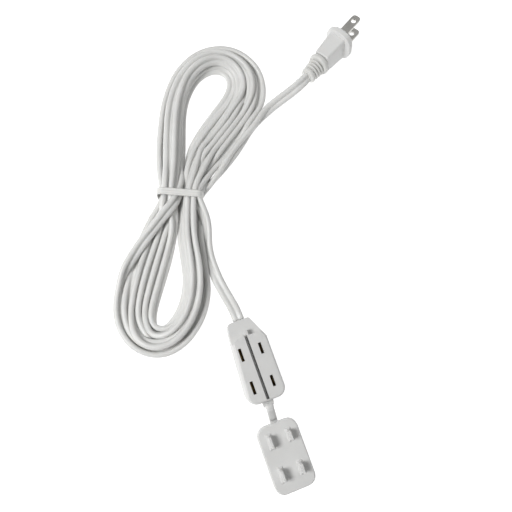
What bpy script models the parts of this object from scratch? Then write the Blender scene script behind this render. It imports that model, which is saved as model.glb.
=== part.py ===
"""Two-outlet flat-cord extension cord with a tethered safety cover, its cord tied in a hank.

Units are metres. The block's outlet face looks up (+Z), the cord enters it at +Y, and the hot side is +X.
The origin is on the surface that everything lies on, under the middle of the block, tether and cover.
"""

import math

import bmesh
import bpy
from mathutils import Matrix, Vector

GAP = 0.0003

# Outlet block, measured from the point midway between its two outlets.
BLOCK_Y = 0.0231
BLOCK_TOP = 0.0220
NECK_TOP = 0.0175
SPLIT_Z = 0.0110
WALL = 0.0017
CEILING_Z = 0.0195
CORNERS = (
    (-0.0125, -0.0210, 0.0065),
    (0.0129, -0.0210, 0.0065),
    (0.0128, 0.0165, 0.0030),
    (0.0062, 0.0310, 0.0020),
    (-0.0082, 0.0310, 0.0030),
    (-0.0098, 0.0200, 0.0040),
)
NECK_END_Y = 0.0310
PAD_END_Y = 0.0202
RIB_END_Y = 0.0234
GROOVE_HALF = 0.00095
RIB_WIDTH = 0.00095
GROOVE_FLOOR_Z = 0.0172

# Outlets: two blades half an inch apart, two rows.
BLADE_X = 0.00635
ROW_Y = 0.01025
SLOT_WIDTH = 0.0020
NEUTRAL_SLOT = 0.0080
HOT_SLOT = 0.0069

# Flat two-core cord.
CORD_WIDTH = 0.0076
CORE_RADIUS = 0.0016
CORE_X = 0.00195
WIRE_RADIUS = 0.0008
CORD_Z = 0.0110

# Contacts.
STRIP_HALF = 0.00145
STRIP_GAP = 0.0019
STRIP_LOW = 0.0030
STRIP_HIGH = 0.0178
STRIP_END_Y = 0.0145
CRIMP_Y = (0.0162, 0.0203)
CRIMP_Z = 0.00475
CRIMP_RADII = (0.0015, 0.0011)

# Tether and safety cover.
HINGE_A = (-0.0250, 0.012295)
HINGE_B = (-0.0341, 0.0045)
STRAP_WIDTH = 0.0050
STRAP_THICK = 0.0012
COVER_WIDTH = 0.0268
COVER_Y = (-0.0782, -0.0356)
COVER_THICK = 0.0050
COVER_ROWS_Y = (-0.0455, -0.0660)
PRONG_FLARE = 0.0015
PRONG_HEIGHT = 0.0070

# Plug: front face centre, and how it lies.
PLUG_AT = (0.1351, 0.2147, 0.0131)
PLUG_HEADING = math.radians(29.4)
PLUG_PITCH = math.radians(1.0)
PLUG_ROLL = math.radians(11.0)
FLANGE_DEPTH = 0.0045
BODY_END = -0.0227
RELIEF_START = BODY_END - GAP
RELIEF_END = -0.0380
CARRIER_DEPTH = 0.0090
BLADE_OUT = 0.0180
BLADE_THICK = 0.0015
BLADE_TAIL = -0.0135
NEUTRAL_BLADE = 0.0079
HOT_BLADE = 0.0063
BLADE_HOLE = 0.0018
BLADE_HOLE_Z = 0.0131

# Hank: outline of the tied cord seen from above, its two eyes, and the band round its waist.
HANK_LOW = 0.0003
HANK_HIGH = 0.0149
HANK_UPPER = (
    (-0.0202, 0.1497), (-0.0090, 0.1781), (0.0020, 0.2041), (0.0110, 0.2211),
    (0.0270, 0.2341), (0.0430, 0.2391), (0.0600, 0.2351), (0.0710, 0.2241),
    (0.0740, 0.2101), (0.0700, 0.1961), (0.0620, 0.1881), (0.0510, 0.1801),
    (0.0376, 0.1714), (0.0236, 0.1606),
)
PLUG_SIDE_FACE = ((0.0129, 0.1508), (0.0178, 0.1442))
HANK_WAIST = ((0.0046, 0.1385), (0.0074, 0.1321))
OUTLET_SIDE_FACE = ((0.0073, 0.1270), (-0.0005, 0.1270))
HANK_LOWER = (
    (-0.0056, 0.1171), (-0.0074, 0.1051), (-0.0090, 0.0911), (-0.0140, 0.0761),
    (-0.0230, 0.0631), (-0.0350, 0.0541), (-0.0500, 0.0501), (-0.0610, 0.0551),
    (-0.0680, 0.0661), (-0.0700, 0.0801), (-0.0660, 0.0961), (-0.0570, 0.1121),
    (-0.0430, 0.1301),
)
UPPER_EYE = (
    (0.0120, 0.1811), (0.0150, 0.1941), (0.0230, 0.2061), (0.0340, 0.2136),
    (0.0450, 0.2151), (0.0485, 0.2101), (0.0420, 0.2001), (0.0310, 0.1921),
    (0.0200, 0.1841),
)
LOWER_EYE = (
    (-0.0210, 0.1141), (-0.0270, 0.1071), (-0.0370, 0.0941), (-0.0460, 0.0811),
    (-0.0490, 0.0741), (-0.0440, 0.0726), (-0.0340, 0.0776), (-0.0250, 0.0871),
    (-0.0215, 0.1001),
)
WAIST_AT = (-0.0080, 0.1441)
WAIST_ANGLE = math.radians(-23.3)
BAND_HALF = 0.0147
BAND_THICK = 0.0010
BAND_WIDTH = 0.0046
BAND_TOP = 0.0164

ROUTE_TO_OUTLET = (
    (0.0034, 0.1267, 0.0040), (0.0034, 0.1225, 0.0040), (0.0010, 0.1140, 0.0040), (-0.0022, 0.1031, 0.0040),
    (-0.0035, 0.0925, 0.0041), (-0.0032, 0.0836, 0.0044), (-0.0019, 0.0735, 0.0058),
    (-0.0006, 0.0652, 0.0084), (0.0000, 0.0590, 0.0107), (0.0000, 0.0544, 0.0110),
)
ROUTE_TO_PLUG = (
    (0.01559, 0.14768, 0.0040), (0.0190, 0.1502, 0.0040), (0.0290, 0.1571, 0.0040), (0.0420, 0.1665, 0.0040),
    (0.0540, 0.1757, 0.0040), (0.0658, 0.1830, 0.0042), (0.0756, 0.1870, 0.0054),
    (0.0838, 0.1892, 0.0080),
)

WHITE = (0.80, 0.80, 0.78)
SOFT_WHITE = (0.74, 0.75, 0.72)
INSULATOR = (0.62, 0.60, 0.54)
BRASS = (0.78, 0.62, 0.30)
NICKEL = (0.66, 0.65, 0.62)
COPPER = (0.85, 0.46, 0.30)

for old in list(bpy.data.objects):
    bpy.data.objects.remove(old)
PARTS = bpy.data.collections.new("extension_cord")
CUTTERS = bpy.data.collections.new("cutters")
bpy.context.scene.collection.children.link(PARTS)
bpy.context.scene.collection.children.link(CUTTERS)


# ---------------------------------------------------------------- shared tools

def finish(name, colour, roughness=0.5, metallic=0.0):
    """A plain Principled material of the piece's own."""
    material = bpy.data.materials.new(name)
    material.use_nodes = True
    shader = material.node_tree.nodes["Principled BSDF"]
    shader.inputs["Base Color"].default_value = (*colour, 1.0)
    shader.inputs["Roughness"].default_value = roughness
    shader.inputs["Metallic"].default_value = metallic
    return material


def add_object(name, data, parent=None, collection=None):
    thing = bpy.data.objects.new(name, data)
    (collection or PARTS).objects.link(thing)
    thing.parent = parent
    return thing


def add_empty(name, location):
    empty = add_object(name, None)
    empty.location = location
    return empty


def mesh_object(name, bm, parent, collection=None):
    bmesh.ops.recalc_face_normals(bm, faces=bm.faces)
    mesh = bpy.data.meshes.new(name)
    bm.to_mesh(mesh)
    bm.free()
    return add_object(name, mesh, parent, collection)


def box_object(name, low, high, parent, collection=None):
    bm = bmesh.new()
    bmesh.ops.create_cube(bm, size=1.0)
    size = [b - a for a, b in zip(low, high)]
    middle = [(a + b) / 2 for a, b in zip(low, high)]
    bmesh.ops.scale(bm, vec=size, verts=bm.verts)
    bmesh.ops.translate(bm, vec=middle, verts=bm.verts)
    return mesh_object(name, bm, parent, collection)


def rod_object(name, radius, start, end, parent, collection=None, segments=20):
    """A cylinder between two points."""
    start, end = Vector(start), Vector(end)
    bm = bmesh.new()
    bmesh.ops.create_cone(
        bm, cap_ends=True, segments=segments, radius1=radius, radius2=radius, depth=(end - start).length
    )
    turn = Vector((0, 0, 1)).rotation_difference(end - start).to_matrix().to_4x4()
    bmesh.ops.transform(bm, matrix=Matrix.Translation((start + end) / 2) @ turn, verts=bm.verts)
    return mesh_object(name, bm, parent, collection)


def hide_cutter(cutter):
    cutter.hide_render = True
    cutter.display_type = "WIRE"


def combine(target, tool, operation):
    """Joins or cuts target with tool, which becomes a hidden cutter."""
    hide_cutter(tool)
    modifier = target.modifiers.new(tool.name, "BOOLEAN")
    modifier.operation = operation
    modifier.solver = "EXACT"
    modifier.object = tool


def cut(target, tool):
    combine(target, tool, "DIFFERENCE")


def join(target, tool):
    combine(target, tool, "UNION")


def cut_box(target, low, high, name="window"):
    cut(target, box_object(name, low, high, target.parent, CUTTERS))


def join_box(target, low, high, name="block"):
    join(target, box_object(name, low, high, target.parent, CUTTERS))


def inset_corners(corners, distance):
    """The corners of an outline moved in by a distance, with their radii reduced to match."""
    moved = []
    count = len(corners)
    for i, (x, y, radius) in enumerate(corners):
        here = Vector((x, y))
        back = (here - Vector(corners[i - 1][:2])).normalized()
        on = (Vector(corners[(i + 1) % count][:2]) - here).normalized()
        inward = Vector((-back.y, back.x)) + Vector((-on.y, on.x))
        inward *= distance / (1.0 + back.dot(on))
        moved.append((x + inward.x, y + inward.y, max(radius - distance, 0.0002)))
    return moved


def rounded_outline(corners, steps=4):
    """Points round a closed outline whose corners are arcs; corners are (x, y, radius), anticlockwise."""
    points = []
    count = len(corners)
    for i, (x, y, radius) in enumerate(corners):
        here = Vector((x, y))
        back = (Vector(corners[i - 1][:2]) - here).normalized()
        on = (Vector(corners[(i + 1) % count][:2]) - here).normalized()
        half = back.angle(on) / 2
        centre = here + (back + on).normalized() * (radius / math.sin(half))
        first = here + back * (radius / math.tan(half)) - centre
        turn = math.pi - 2 * half
        for k in range(steps + 1):
            angle = turn * k / steps
            c, s = math.cos(angle), math.sin(angle)
            points.append((centre.x + first.x * c - first.y * s, centre.y + first.x * s + first.y * c))
    return points


def rounded_box_corners(half_x, half_y, radius, middle=(0.0, 0.0)):
    x, y = middle
    signs = ((-1, -1), (1, -1), (1, 1), (-1, 1))
    return [(x + sx * half_x, y + sy * half_y, radius) for sx, sy in signs]


def stacked_object(name, sections, parent, collection=None, steps=4):
    """A solid lofted up through sections, each (height, corners) with the same number of corners."""
    bm = bmesh.new()
    rings = [
        [bm.verts.new((x, y, z)) for x, y in rounded_outline(corners, steps)] for z, corners in sections
    ]
    for low, high in zip(rings, rings[1:]):
        for i in range(len(low)):
            bm.faces.new((low[i - 1], low[i], high[i], high[i - 1]))
    bm.faces.new(list(reversed(rings[0])))
    bm.faces.new(rings[-1])
    return mesh_object(name, bm, parent, collection)


def prism_object(name, outline, low, high, parent, collection=None):
    """A straight-sided solid standing on an outline of (x, y) points, anticlockwise."""
    bm = bmesh.new()
    bottom = [bm.verts.new((x, y, low)) for x, y in outline]
    top = [bm.verts.new((x, y, high)) for x, y in outline]
    for i in range(len(outline)):
        bm.faces.new((bottom[i - 1], bottom[i], top[i], top[i - 1]))
    bm.faces.new(list(reversed(bottom)))
    bm.faces.new(top)
    return mesh_object(name, bm, parent, collection)


def turned_object(name, profile, parent, stretch=(1.0, 1.0), steps=24):
    """A profile of (radius, height) points, top first, turned about Z and stretched across."""
    bm = bmesh.new()
    verts = [bm.verts.new((radius, 0.0, z)) for radius, z in profile]
    for a, b in zip(verts, verts[1:]):
        bm.edges.new((a, b))
    mesh = bpy.data.meshes.new(name)
    bm.to_mesh(mesh)
    bm.free()
    thing = add_object(name, mesh, parent)
    screw = thing.modifiers.new("turn", "SCREW")
    screw.axis = "Z"
    screw.steps = steps
    screw.render_steps = steps
    screw.use_merge_vertices = True
    screw.merge_threshold = 0.00001
    thing.scale = (stretch[0], stretch[1], 1.0)
    return thing


def smooth_route(points, per_span=3):
    """Points along a smooth curve through the route's own points."""
    ends = [2 * Vector(points[0]) - Vector(points[1]), 2 * Vector(points[-1]) - Vector(points[-2])]
    p = [ends[0], *(Vector(q) for q in points), ends[1]]
    line = []
    for i in range(1, len(p) - 2):
        for k in range(per_span):
            t = k / per_span
            line.append(
                0.5 * (
                    2 * p[i] + (p[i + 1] - p[i - 1]) * t
                    + (2 * p[i - 1] - 5 * p[i] + 4 * p[i + 1] - p[i + 2]) * t * t
                    + (3 * p[i] - p[i - 1] - 3 * p[i + 1] + p[i + 2]) * t * t * t
                )
            )
    line.append(p[-2])
    return line


def tube_object(name, points, radius, parent=None, resolution=2):
    curve = bpy.data.curves.new(name, "CURVE")
    curve.dimensions = "3D"
    curve.bevel_depth = radius
    curve.bevel_resolution = resolution
    curve.use_fill_caps = True
    spline = curve.splines.new("POLY")
    spline.points.add(len(points) - 1)
    for place, point in zip(spline.points, points):
        place.co = (*point, 1.0)
    return add_object(name, curve, parent)


def paint(thing, *material):
    thing.data.materials.append(finish(thing.name, *material))
    if thing.type == "MESH":
        thing.data.shade_smooth()
        thing.data.set_sharp_from_angle(angle=math.radians(35))
    return thing


# ---------------------------------------------------------------- outlet block

BLOCK = add_empty("block_frame", (0, BLOCK_Y, 0))


def clear_block_passages(shell):
    """Room in either shell for the cores, the cord grip, the cord's mouth and the tether's stem."""
    pocket_x, pocket_z = 0.0049, 0.0037
    cut_box(shell, (-pocket_x, 0.0240, CORD_Z - pocket_z), (pocket_x, 0.0300, CORD_Z + pocket_z), "grip_pocket")
    mouth_x, mouth_z = 0.0039, 0.0021
    cut_box(shell, (-mouth_x, 0.0290, CORD_Z - mouth_z), (mouth_x, 0.0330, CORD_Z + mouth_z), "cord_mouth")
    cut_box(shell, (-0.0028, -0.0230, 0.0089), (0.0028, -0.0180, 0.0120), "stem_window")


def cavity_cutter(y_end, low, high, wall=WALL):
    """The inside of the block up to y_end, a wall's thickness in from its outline."""
    corners = inset_corners(CORNERS, wall)
    cutter = stacked_object("cavity", ((low, corners), (high, corners)), BLOCK, CUTTERS)
    cut_box(cutter, (-0.02, y_end, low - 0.001), (0.02, 0.04, high + 0.001), "cavity_end")
    return cutter


def make_back_shell():
    bottom = 0.0010
    shell = stacked_object(
        "outlet_back_shell",
        (
            (0.0, inset_corners(CORNERS, bottom)),
            (bottom, CORNERS),
            (SPLIT_Z - GAP / 2, CORNERS),
        ),
        BLOCK,
    )
    floor = 0.0018
    cut(shell, cavity_cutter(0.0255, floor, SPLIT_Z + 0.001))
    clear_block_passages(shell)
    return paint(shell, WHITE, 0.45)


def make_front_shell():
    shell = stacked_object(
        "outlet_front_shell",
        (
            (SPLIT_Z + GAP / 2, CORNERS),
            (BLOCK_TOP - 0.0009, inset_corners(CORNERS, 0.0006)),
            (BLOCK_TOP, inset_corners(CORNERS, 0.0012)),
        ),
        BLOCK,
    )
    cut(shell, cavity_cutter(0.0180, SPLIT_Z - 0.001, CEILING_Z))
    cut(shell, cavity_cutter(0.0255, SPLIT_Z - 0.002, 0.0150, WALL + 0.0002))
    join_box(shell, (-0.0024, -0.0202, 0.0132), (0.0024, 0.0214, 0.0202), "centre_rib")
    over = 0.004
    rib_x = GROOVE_HALF + RIB_WIDTH
    left_end, right_end, wide, far = PAD_END_Y + 0.0004, PAD_END_Y, 0.02, 0.04
    step = (
        (-wide, left_end), (GROOVE_HALF, left_end), (GROOVE_HALF, RIB_END_Y), (rib_x, RIB_END_Y),
        (rib_x, right_end), (wide, right_end), (wide, far), (-wide, far),
    )
    cut(shell, prism_object("neck_step", step, NECK_TOP, BLOCK_TOP + over, BLOCK, CUTTERS))
    cut_box(
        shell, (-GROOVE_HALF, -0.0178, GROOVE_FLOOR_Z), (GROOVE_HALF - 0.00002, 0.0209, BLOCK_TOP + over), "groove"
    )
    for y in (-ROW_Y, ROW_Y):
        for x, length in ((-BLADE_X, NEUTRAL_SLOT), (BLADE_X, HOT_SLOT)):
            low = (x - SLOT_WIDTH / 2, y - length / 2, CEILING_Z - 0.002)
            high = (x + SLOT_WIDTH / 2, y + length / 2, BLOCK_TOP + over)
            cut_box(shell, low, high, "slot")
    clear_block_passages(shell)
    return paint(shell, WHITE, 0.45)


def make_contact_carrier():
    """Insulating spine between the two strips, with the foot that they stand on."""
    carrier = box_object("contact_carrier", (-0.0081, -0.0150, 0.0021), (0.0083, 0.0150, 0.0027), BLOCK)
    join_box(carrier, (-0.0022, -0.0150, 0.0024), (0.0022, 0.0150, 0.0128), "spine")
    return paint(carrier, INSULATOR, 0.6)


def make_contact_strip(name, x):
    """A brass channel whose two walls are the spring leaves, with a crimp barrel at the cord's end."""
    strip = box_object(
        name, (x - STRIP_HALF, -STRIP_END_Y, STRIP_LOW), (x + STRIP_HALF, STRIP_END_Y, STRIP_HIGH), BLOCK
    )
    inner = STRIP_GAP / 2
    sheet = 0.0005
    cut_box(
        strip, (x - inner, -0.03, STRIP_LOW + sheet), (x + inner, 0.03, STRIP_HIGH + 0.001), "channel"
    )
    cut_box(strip, (x - 0.003, -0.0050, 0.0055), (x + 0.003, 0.0050, STRIP_HIGH + 0.001), "between_outlets")
    tab = 0.0012
    join_box(
        strip, (x - tab, STRIP_END_Y - 0.001, STRIP_LOW), (x + tab, CRIMP_Y[1] - 0.0006, STRIP_LOW + sheet), "tab"
    )
    outer, bore = CRIMP_RADII
    start, end = (x, CRIMP_Y[0], CRIMP_Z), (x, CRIMP_Y[1], CRIMP_Z)
    join(strip, rod_object("crimp_barrel", outer, start, end, BLOCK, CUTTERS))
    cut(
        strip,
        rod_object(
            "crimp_bore", bore, (x, CRIMP_Y[0] - 0.0004, CRIMP_Z), (x, CRIMP_Y[1] + 0.001, CRIMP_Z), BLOCK, CUTTERS
        ),
    )
    return paint(strip, BRASS, 0.3, 1.0)


def make_block_core(side, label):
    """One insulated core from the cord grip down to its crimp, and its bare end."""
    x = side * BLADE_X
    start_y = CRIMP_Y[1] + 2 * GAP
    route = (
        (x, start_y, CRIMP_Z),
        (side * 0.0062, 0.0217, 0.0049),
        (side * 0.0054, 0.0228, 0.0062),
        (side * 0.0041, 0.0239, 0.0083),
        (side * 0.0028, 0.0250, 0.0101),
        (side * 0.0021, 0.0260, 0.0109),
        (side * CORE_X, 0.0275, CORD_Z),
        (side * CORE_X, 0.0300, CORD_Z),
    )
    core = tube_object("outlet_core_" + label, smooth_route(route, 2), CORE_RADIUS, BLOCK)
    paint(core, SOFT_WHITE, 0.5)
    wire = rod_object(
        "outlet_wire_" + label, WIRE_RADIUS, (x, CRIMP_Y[0], CRIMP_Z), (x, start_y - GAP, CRIMP_Z), BLOCK
    )
    paint(wire, COPPER, 0.35, 1.0)


def make_cord_grip():
    """Oval bush in the neck that holds the cord, with a passage for both cores."""
    outer = rounded_box_corners(0.0046, 0.0034, 0.0020)
    inner = rounded_box_corners(CORE_X + CORE_RADIUS + GAP, CORE_RADIUS + GAP, 0.0015)
    stand = add_empty("grip_frame", (0, 0.0263, CORD_Z))
    stand.parent = BLOCK
    stand.rotation_euler = (-math.pi / 2, 0, 0)
    grip = stacked_object("outlet_cord_grip", ((0.0, outer), (0.0034, outer)), stand)
    cut(grip, stacked_object("grip_passage", ((-0.001, inner), (0.006, inner)), stand, CUTTERS))
    return paint(grip, SOFT_WHITE, 0.6)


def make_tether_anchor():
    """Boss on the block's end that carries the tether, with a stem and head held inside the shells."""
    anchor = box_object("tether_anchor", (-0.0035, -0.0243, 0.0086), (0.0035, -0.0213, 0.0120), BLOCK)
    join_box(anchor, (-0.0025, -0.0216, 0.0092), (0.0025, -0.0180, 0.0117), "stem")
    join_box(anchor, (-0.0040, -0.0189, 0.0080), (0.0040, -0.0178, 0.0126), "head")
    return paint(anchor, WHITE, 0.5)


# ---------------------------------------------------------------- tether and cover

def make_tether_strap():
    a, b = Vector((0, *HINGE_A)), Vector((0, *HINGE_B))
    hinge = add_empty("tether_hinge", (0, BLOCK_Y + a.y, a.z))
    along = (b - a).normalized()
    hinge.rotation_euler = (math.atan2(-along.z, -along.y), 0, 0)
    length = (b - a).length
    clear_a, clear_b = 0.0007, 0.0010
    strap = box_object(
        "tether_strap",
        (-STRAP_WIDTH / 2, clear_b - length, -STRAP_THICK / 2),
        (STRAP_WIDTH / 2, -clear_a, STRAP_THICK / 2),
        hinge,
    )
    return paint(strap, WHITE, 0.5)


def prong_sections(middle_y, foot, tip):
    """Sections of one cover prong: foot, top of the flare, and tip half-lengths across Y."""
    base = COVER_THICK
    x_foot, x_stem, x_tip = 0.0020, 0.0008, 0.0007
    half_stem = tip + 0.0003
    heights = (base - 0.0005, base, base + PRONG_FLARE * 0.5, base + PRONG_FLARE, base + PRONG_HEIGHT)
    halves = ((x_foot, foot), (x_foot, foot), ((x_foot + x_stem) / 2.2, (foot + half_stem) / 2.1),
              (x_stem, half_stem), (x_tip, tip))
    return heights, halves, middle_y


def make_safety_cover():
    hinge = add_empty("cover_hinge", (0, BLOCK_Y + HINGE_B[0], 0))
    to_local = -HINGE_B[0]
    low_y, high_y = COVER_Y[0] + to_local, COVER_Y[1] + to_local
    half_y = (high_y - low_y) / 2
    middle = (0.0, (low_y + high_y) / 2)

    def plate(inset):
        return rounded_box_corners(
            COVER_WIDTH / 2 - inset, half_y - inset, 0.0062 - inset, middle
        )

    cover = stacked_object(
        "safety_cover",
        (
            (0.0, plate(0.0008)),
            (0.0008, plate(0.0)),
            (COVER_THICK - 0.0008, plate(0.0002)),
            (COVER_THICK, plate(0.0010)),
        ),
        hinge,
    )
    join_box(cover, (-STRAP_WIDTH / 2, high_y - 0.002, 0.0039), (STRAP_WIDTH / 2, -0.0008, 0.0047), "tab")
    for row in COVER_ROWS_Y:
        for x, foot, tip in ((-BLADE_X, 0.0051, 0.0035), (BLADE_X, 0.0044, 0.0029)):
            heights, halves, y = prong_sections(row + to_local, foot, tip)
            sections = [
                (z, rounded_box_corners(half[0], half[1], 0.0004, (x, y)))
                for z, half in zip(heights, halves)
            ]
            join(cover, stacked_object("prong", sections, hinge, CUTTERS, steps=2))
    return paint(cover, WHITE, 0.5)


# ---------------------------------------------------------------- plug

def place_plug():
    """Frame of the plug: +Z out of its face along the blades, +Y from the wide blade to the narrow one."""
    ahead = Vector((
        math.cos(PLUG_HEADING) * math.cos(PLUG_PITCH),
        math.sin(PLUG_HEADING) * math.cos(PLUG_PITCH),
        math.sin(PLUG_PITCH),
    ))
    left = Vector((-math.sin(PLUG_HEADING), math.cos(PLUG_HEADING), 0))
    over = ahead.cross(left)
    across = over * math.cos(PLUG_ROLL) + left * math.sin(PLUG_ROLL)
    side = across.cross(ahead)
    turn = Matrix((side, across, ahead)).transposed()
    frame = add_empty("plug_frame", PLUG_AT)
    frame.rotation_euler = turn.to_euler()
    return frame, turn


PLUG, PLUG_TURN = place_plug()
PLUG_CORE_Y = 0.0046


def on_plug(point):
    """A point given in the plug's frame, in the part's frame."""
    return Vector(PLUG_AT) + PLUG_TURN @ Vector(point)


def make_plug_body():
    flange = (0.0103, 0.0122)
    front = (0.0066, 0.0095)
    rear = (0.0055, 0.0081)
    body = stacked_object(
        "plug_body",
        (
            (BODY_END, rounded_box_corners(rear[0] - 0.0006, rear[1] - 0.0006, 0.0014)),
            (BODY_END + 0.0006, rounded_box_corners(*rear, 0.0018)),
            (-FLANGE_DEPTH - 0.0008, rounded_box_corners(*front, 0.0018)),
            (-FLANGE_DEPTH + 0.0004, rounded_box_corners(flange[0] - 0.0002, flange[1] - 0.0002, 0.0086)),
            (-0.0012, rounded_box_corners(*flange, 0.0088)),
            (0.0, rounded_box_corners(flange[0] - 0.0010, flange[1] - 0.0010, 0.0078)),
        ),
        PLUG,
    )
    pocket = rounded_box_corners(0.0048, 0.0083, 0.0015)
    cut(body, stacked_object("carrier_pocket", ((-CARRIER_DEPTH - GAP, pocket), (0.001, pocket)), PLUG, CUTTERS))
    tails = rounded_box_corners(0.0033, 0.0076, 0.0008)
    cut(body, stacked_object("tail_room", ((-0.0140, tails), (-CARRIER_DEPTH, tails)), PLUG, CUTTERS))
    cores = rounded_box_corners(0.0022, PLUG_CORE_Y + CORE_RADIUS + GAP, 0.0018)
    cut(body, stacked_object("core_room", ((BODY_END - 0.001, cores), (-0.0135, cores)), PLUG, CUTTERS))
    return paint(body, WHITE, 0.45)


def make_plug_blade_carrier():
    """Insulating insert, flush with the plug's face, that both blades pass through."""
    corners = rounded_box_corners(0.0045, 0.0080, 0.0012)
    carrier = stacked_object("plug_blade_carrier", ((-CARRIER_DEPTH, corners), (0.0, corners)), PLUG)
    for side, width in ((-1, NEUTRAL_BLADE), (1, HOT_BLADE)):
        y = side * BLADE_X
        half_x, half_y = width / 2 + GAP, BLADE_THICK / 2 + GAP
        cut_box(carrier, (-half_x, y - half_y, -0.012), (half_x, y + half_y, 0.001), "blade_slot")
    return paint(carrier, WHITE, 0.5)


def make_plug_blade(name, side, width):
    """A flat blade with rounded tip corners and a hole, and a crimp barrel on the inner side of its tail."""
    half, tip = width / 2, 0.0022
    y = side * BLADE_X
    corners = [
        (-half, BLADE_TAIL + 0.0047, 0.0002),
        (half, BLADE_TAIL + 0.0047, 0.0002),
        (half, BLADE_OUT, tip),
        (-half, BLADE_OUT, tip),
    ]
    thick = BLADE_THICK / 2
    blade = stacked_object(name, ((-thick, corners), (thick, corners)), None)
    blade.parent = PLUG
    blade.location = (0, y, 0)
    blade.rotation_euler = (math.pi / 2, 0, 0)
    tail = 0.0028
    join_box(blade, (-tail, y - thick, BLADE_TAIL), (tail, y + thick, BLADE_TAIL + 0.0055), "blade_tail")
    core_y = side * PLUG_CORE_Y
    outer, bore = CRIMP_RADII
    low, high = BLADE_TAIL, BLADE_TAIL + 0.0038
    join(blade, rod_object("blade_barrel", outer, (0, core_y, low), (0, core_y, high), PLUG, CUTTERS))
    cut(blade, rod_object("barrel_bore", bore, (0, core_y, low - 0.001), (0, core_y, high + 0.0002), PLUG, CUTTERS))
    hole_start, hole_end = (0, y - 0.002, BLADE_HOLE_Z), (0, y + 0.002, BLADE_HOLE_Z)
    cut(blade, rod_object("blade_hole", BLADE_HOLE, hole_start, hole_end, PLUG, CUTTERS))
    return paint(blade, NICKEL, 0.3, 1.0)


def make_plug_core(side, label):
    """One insulated core through the strain relief to its blade, and its bare end."""
    start = BLADE_TAIL - 2 * GAP
    y = side * PLUG_CORE_Y
    route = (
        (0, y, start),
        (0, y, start - 0.0020),
        (0, side * 0.0036, start - 0.0055),
        (0, side * 0.0024, start - 0.0095),
        (0, side * CORE_X, start - 0.0140),
        (0, side * CORE_X, RELIEF_END + GAP),
    )
    core = tube_object("plug_core_" + label, smooth_route(route, 2), CORE_RADIUS, PLUG)
    paint(core, SOFT_WHITE, 0.5)
    wire = rod_object(
        "plug_wire_" + label, WIRE_RADIUS, (0, y, start + GAP), (0, y, BLADE_TAIL + 0.0036), PLUG
    )
    paint(wire, COPPER, 0.35, 1.0)


def relief_profile():
    """Outside of the strain relief, front to back: collar, three thin rings, end ring."""
    collar, core, ring, last = 0.0082, 0.0050, 0.0067, 0.0058
    soft = 0.0006
    profile = [
        (collar - 2 * soft, RELIEF_START),
        (collar, RELIEF_START - 2 * soft),
        (collar - 0.0002, RELIEF_START - 0.0036),
        (collar - 0.0010, RELIEF_START - 0.0042),
    ]
    pitch, ring_width = 0.0023, 0.0014
    for k in range(3):
        top = RELIEF_START - 0.0050 - pitch * k
        radius = ring - 0.0003 * k
        bottom = top - ring_width
        profile += [(core, top), (radius, top - soft / 2), (radius, bottom), (core, bottom - soft / 2)]
    profile += [
        (core, RELIEF_END + 0.0032),
        (last, RELIEF_END + 0.0027),
        (last, RELIEF_END + 0.0010),
        (last - 0.0008, RELIEF_END),
    ]
    return [(0.0, RELIEF_START), *profile, (0.0, RELIEF_END)]


def make_plug_strain_relief():
    relief = turned_object("plug_strain_relief", relief_profile(), PLUG, stretch=(0.93, 1.0))
    wide = rounded_box_corners(0.0021, 0.0062, 0.0018)
    narrow = rounded_box_corners(0.0020, CORE_X + CORE_RADIUS + GAP, 0.0017)
    passage = stacked_object(
        "relief_passage",
        ((RELIEF_END - 0.001, narrow), (-0.0300, narrow), (RELIEF_START + 0.001, wide)),
        PLUG,
        CUTTERS,
    )
    cut(relief, passage)
    return paint(relief, SOFT_WHITE, 0.55)


# ---------------------------------------------------------------- cord, hank and band

def add_outline(curve, points, sharp=()):
    spline = curve.splines.new("BEZIER")
    spline.use_cyclic_u = True
    spline.resolution_u = 4
    spline.bezier_points.add(len(points) - 1)
    for knot, (x, y) in zip(spline.bezier_points, points):
        knot.co = (x, y, 0)
        kind = "VECTOR" if (x, y) in sharp else "AUTO"
        knot.handle_left_type = kind
        knot.handle_right_type = kind


def make_hank():
    """The wound cord as one solid: its outline and two eyes, with a groove for the band at the waist."""
    curve = bpy.data.curves.new("cord_hank_outline", "CURVE")
    curve.dimensions = "2D"
    curve.fill_mode = "BOTH"
    curve.extrude = (HANK_HIGH - HANK_LOW) / 2
    faces = (*PLUG_SIDE_FACE, *OUTLET_SIDE_FACE)
    outline = (*HANK_UPPER, *PLUG_SIDE_FACE, *HANK_WAIST, *OUTLET_SIDE_FACE, *HANK_LOWER)
    add_outline(curve, outline, faces)
    add_outline(curve, UPPER_EYE)
    add_outline(curve, LOWER_EYE)
    outline_object = add_object("hank_outline", curve)
    outline_object.location = (0, 0, (HANK_HIGH + HANK_LOW) / 2)
    bpy.context.view_layer.update()
    graph = bpy.context.evaluated_depsgraph_get()
    mesh = bpy.data.meshes.new_from_object(outline_object.evaluated_get(graph))
    bm = bmesh.new()
    bm.from_mesh(mesh)
    bmesh.ops.remove_doubles(bm, verts=bm.verts, dist=0.00001)
    bm.to_mesh(mesh)
    bm.free()
    hank = add_object("cord_hank", mesh)
    hank.matrix_world = outline_object.matrix_world
    bpy.data.objects.remove(outline_object)
    groove = band_object("band_groove", BAND_THICK + 2 * GAP, BAND_WIDTH + 2 * GAP, CUTTERS)
    cut(hank, groove)
    return paint(hank, SOFT_WHITE, 0.5)


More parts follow.
